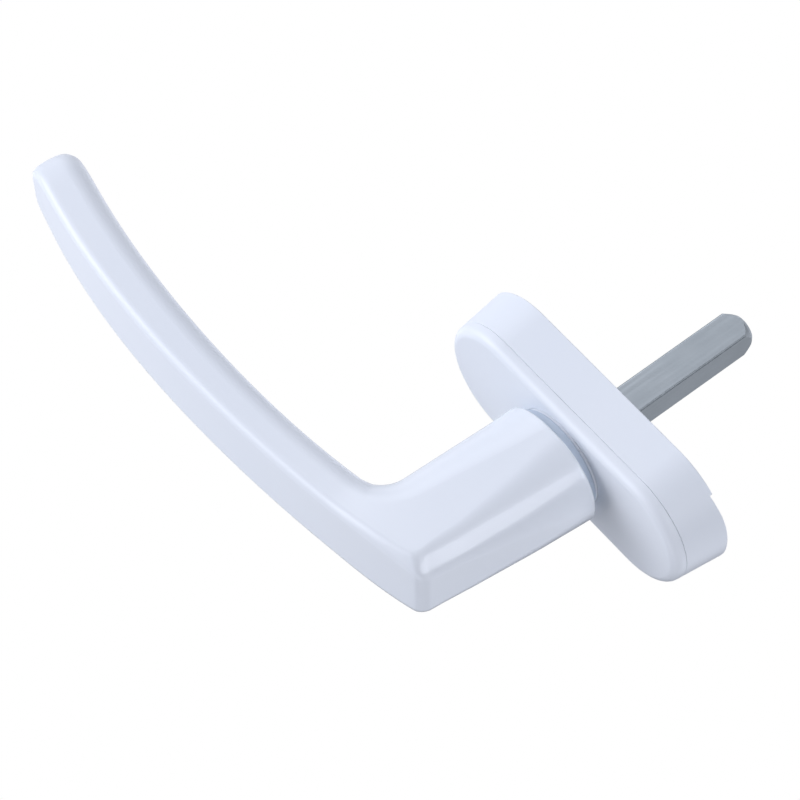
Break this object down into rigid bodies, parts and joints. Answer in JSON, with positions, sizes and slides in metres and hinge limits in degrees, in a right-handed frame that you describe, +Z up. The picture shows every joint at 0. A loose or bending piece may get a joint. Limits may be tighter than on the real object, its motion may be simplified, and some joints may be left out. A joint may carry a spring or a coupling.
{
  "type": "tilt turn window handle",
  "caption": "Tilt-and-turn window handle: curved flat-faced lever on an oblong rosette with a snap cover, four-position ball detent and a square drive spindle.",
  "frame": {"origin": "where the spindle's axis crosses the mounting plane at the back of the rosette, midway between the two fixing holes", "axes": "+Y into the window along the spindle, -Y into the room, +Z up along the rosette, +X across; the lever hangs along -Z in the closed position"},
  "size_m": [0.0294, 0.0926, 0.1515],
  "materials": {
    "lever_coat": "glossy white powder coat on die-cast aluminium",
    "rosette_white": "satin white moulding",
    "cover_white": "satin white moulding",
    "zinc_steel": "zinc plated, faint drawing marks along the bar",
    "spring_steel": "bright spring steel",
    "bearing_steel": "polished",
    "die_cast_zinc": "as-cast zinc alloy",
    "grey_plastic": "matt grey moulding",
    "natural_nylon": "natural nylon"
  },
  "bodies": {
    "rosette": {"base_housing": "rosette_white", "backing_plate": "zinc_steel", "plate_screws": "zinc_steel", "bearing_bush": "natural_nylon", "detent_spring_upper": "spring_steel", "detent_spring_lower": "spring_steel"},
    "handle": {"lever": "lever_coat", "spindle": "zinc_steel", "spindle_pin": "spring_steel", "neck_ring": "grey_plastic", "detent_ring": "die_cast_zinc", "disc_spring": "spring_steel", "thrust_washer": "zinc_steel", "retaining_ring": "spring_steel"},
    "cover": {"rosette_cover": "cover_white"},
    "ball_upper": {"detent_ball_upper": "bearing_steel"},
    "ball_lower": {"detent_ball_lower": "bearing_steel"}
  },
  "joints": [
    {"name": "handle_turn", "type": "hinge", "parent": "rosette", "child": "handle", "pos_m": [0, 0, 0], "axis": [0, 1, 0], "range_deg": [0, 180]},
    {"name": "cover_turn", "type": "hinge", "parent": "rosette", "child": "cover", "pos_m": [0, 0, 0], "axis": [0, 1, 0], "range_deg": [-90, 90]},
    {"name": "ball_upper_drop", "type": "slide", "parent": "rosette", "child": "ball_upper", "axis": [0, 0, -1], "range_m": [0, 0.00058], "deforming": ["detent_spring_upper"]},
    {"name": "ball_lower_drop", "type": "slide", "parent": "rosette", "child": "ball_lower", "axis": [0, 0, 1], "range_m": [0, 0.00058], "deforming": ["detent_spring_lower"]}
  ]
}
